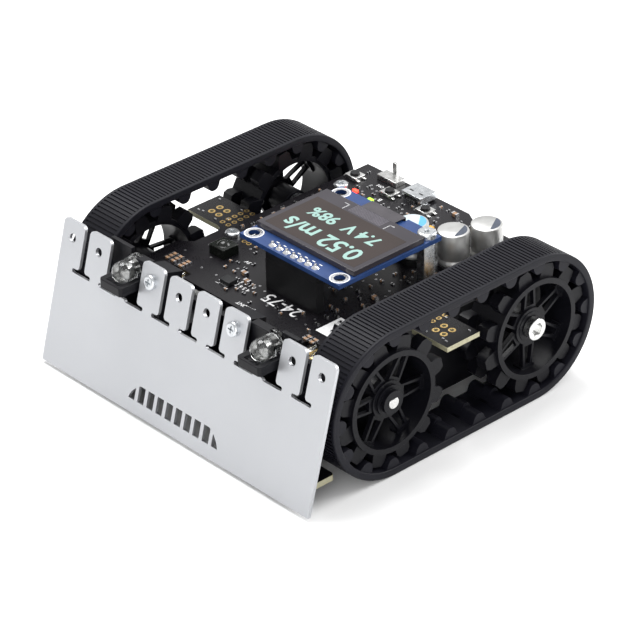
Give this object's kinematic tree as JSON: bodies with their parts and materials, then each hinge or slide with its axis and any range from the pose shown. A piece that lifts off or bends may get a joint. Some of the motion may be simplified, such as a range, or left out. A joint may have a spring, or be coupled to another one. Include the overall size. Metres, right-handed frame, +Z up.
{
  "type": "line follower robot",
  "caption": "Small tracked robot: two rubber tracks on spoked sprockets, circuit-board deck with display, infrared emitters, line sensors and a sheet-metal front blade.",
  "frame": {"origin": "centre of the bounding box, on the ground the tracks stand on", "axes": "+X across the robot towards the track at the viewer's right when the blade faces the viewer, -Y is the blade's way, +Z is up"},
  "size_m": [0.098, 0.0962, 0.0392],
  "materials": {
    "chassis_plastic": "fine moulded texture",
    "cell_wrap": "printed-free plastic wrap over a metal can",
    "contact_nickel": "nickel plated spring steel",
    "circuit_board": "matte black solder mask on glass epoxy",
    "zinc_fastener": "zinc plated",
    "blade_steel": "satin stainless sheet",
    "clear_epoxy": "clear moulded epoxy",
    "chip_epoxy": "moulded epoxy",
    "pin_metal": "gold flashed",
    "display_blue": "blue solder mask on glass epoxy",
    "display_glass": "dark display glass",
    "flex_amber": "polyimide ribbon",
    "black_nylon": "moulded nylon",
    "switch_metal": "stamped steel cover",
    "button_plastic": "moulded plastic",
    "connector_steel": "tin plated shell",
    "capacitor_aluminium": "drawn can",
    "resistor_ceramic": "tan ceramic with tinned ends",
    "red_lamp": "lit indicator",
    "green_lamp": "lit indicator",
    "track_rubber": "matte silicone rubber",
    "sprocket_plastic": "moulded acetal",
    "motor_steel": "drawn can",
    "gearbox_brass": "stamped plates",
    "shaft_steel": "ground steel",
    "magnet_black": "moulded magnet"
  },
  "bodies": {
    "chassis": {"chassis_body": "chassis_plastic", "led_holder_left": "chassis_plastic", "led_holder_right": "chassis_plastic", "power_cells": "cell_wrap", "cell_contacts": "contact_nickel", "main_board": "circuit_board", "sensor_board": "circuit_board", "board_screws": "zinc_fastener", "blade_screws": "zinc_fastener", "blade_nuts": "zinc_fastener", "display_screw": "zinc_fastener", "display_standoff": "zinc_fastener", "blade": "blade_steel", "infrared_leds": "clear_epoxy", "proximity_sensors": "chip_epoxy", "line_sensors": "chip_epoxy", "chips": "chip_epoxy", "display_pins": "pin_metal", "display_board": "display_blue", "display_glass": "display_glass", "display_flex": "flex_amber", "display_socket": "black_nylon", "sensor_header": "black_nylon", "button_bodies": "switch_metal", "switch_body": "switch_metal", "usb_socket": "connector_steel", "capacitor_cans": "capacitor_aluminium", "capacitor_bases": "black_nylon", "resistors": "resistor_ceramic", "small_capacitors": "resistor_ceramic", "power_led": "red_lamp", "user_led": "green_lamp", "track_left": "track_rubber", "motor_can_left": "motor_steel", "gearbox_left": "gearbox_brass", "shoulder_bolt_left": "shaft_steel", "track_right": "track_rubber", "motor_can_right": "motor_steel", "gearbox_right": "gearbox_brass", "shoulder_bolt_right": "shaft_steel", "idler_washers": "zinc_fastener", "idler_nuts": "zinc_fastener"},
    "drive_wheel_left": {"drive_sprocket_left": "sprocket_plastic", "output_shaft_left": "shaft_steel"},
    "idler_wheel_left": {"idler_sprocket_left": "sprocket_plastic"},
    "motor_rotor_left": {"encoder_disc_left": "magnet_black"},
    "drive_wheel_right": {"drive_sprocket_right": "sprocket_plastic", "output_shaft_right": "shaft_steel"},
    "idler_wheel_right": {"idler_sprocket_right": "sprocket_plastic"},
    "motor_rotor_right": {"encoder_disc_right": "magnet_black"},
    "button_a": {"button_cap_a": "button_plastic"},
    "button_b": {"button_cap_b": "button_plastic"},
    "button_c": {"button_cap_c": "button_plastic"},
    "switch_knob": {"switch_slider": "button_plastic"},
    "cover": {"battery_cover": "chassis_plastic"}
  },
  "joints": [
    {"name": "drive_spin_left", "type": "hinge", "parent": "chassis", "child": "drive_wheel_left", "pos_m": [0, -0.0199, 0.0195], "axis": [1, 0, 0], "continuous": true, "deforming": ["track_left"]},
    {"name": "idler_spin_left", "type": "hinge", "parent": "chassis", "child": "idler_wheel_left", "pos_m": [0, 0.0271, 0.0195], "axis": [1, 0, 0], "continuous": true},
    {"name": "motor_spin_left", "type": "hinge", "parent": "chassis", "child": "motor_rotor_left", "pos_m": [0, -0.0199, 0.0195], "axis": [1, 0, 0], "continuous": true},
    {"name": "drive_spin_right", "type": "hinge", "parent": "chassis", "child": "drive_wheel_right", "pos_m": [0, -0.0199, 0.0195], "axis": [1, 0, 0], "continuous": true, "deforming": ["track_right"]},
    {"name": "idler_spin_right", "type": "hinge", "parent": "chassis", "child": "idler_wheel_right", "pos_m": [0, 0.0271, 0.0195], "axis": [1, 0, 0], "continuous": true},
    {"name": "motor_spin_right", "type": "hinge", "parent": "chassis", "child": "motor_rotor_right", "pos_m": [0, -0.0199, 0.0195], "axis": [1, 0, 0], "continuous": true},
    {"name": "button_press_a", "type": "slide", "parent": "chassis", "child": "button_a", "axis": [0, 0, -1], "range_m": [0, 0.00025], "stiffness_N_per_m": 1500, "springref_m": -0.0005},
    {"name": "button_press_b", "type": "slide", "parent": "chassis", "child": "button_b", "axis": [0, 0, -1], "range_m": [0, 0.00025], "stiffness_N_per_m": 1500, "springref_m": -0.0005},
    {"name": "button_press_c", "type": "slide", "parent": "chassis", "child": "button_c", "axis": [0, 0, -1], "range_m": [0, 0.00025], "stiffness_N_per_m": 1500, "springref_m": -0.0005},
    {"name": "power_switch_slide", "type": "slide", "parent": "chassis", "child": "switch_knob", "axis": [1, 0, 0], "range_m": [0, 0.0015]},
    {"name": "battery_cover_tilt", "type": "hinge", "parent": "chassis", "child": "cover", "pos_m": [0, -0.0131, 0.0036], "axis": [1, 0, 0], "range_deg": [-60, 0]}
  ],
  "couplings": [
    {"joint": "idler_spin_left", "follows": "drive_spin_left", "ratio": 1},
    {"joint": "motor_spin_left", "follows": "drive_spin_left", "ratio": 75.81},
    {"joint": "idler_spin_right", "follows": "drive_spin_right", "ratio": 1},
    {"joint": "motor_spin_right", "follows": "drive_spin_right", "ratio": 75.81}
  ]
}
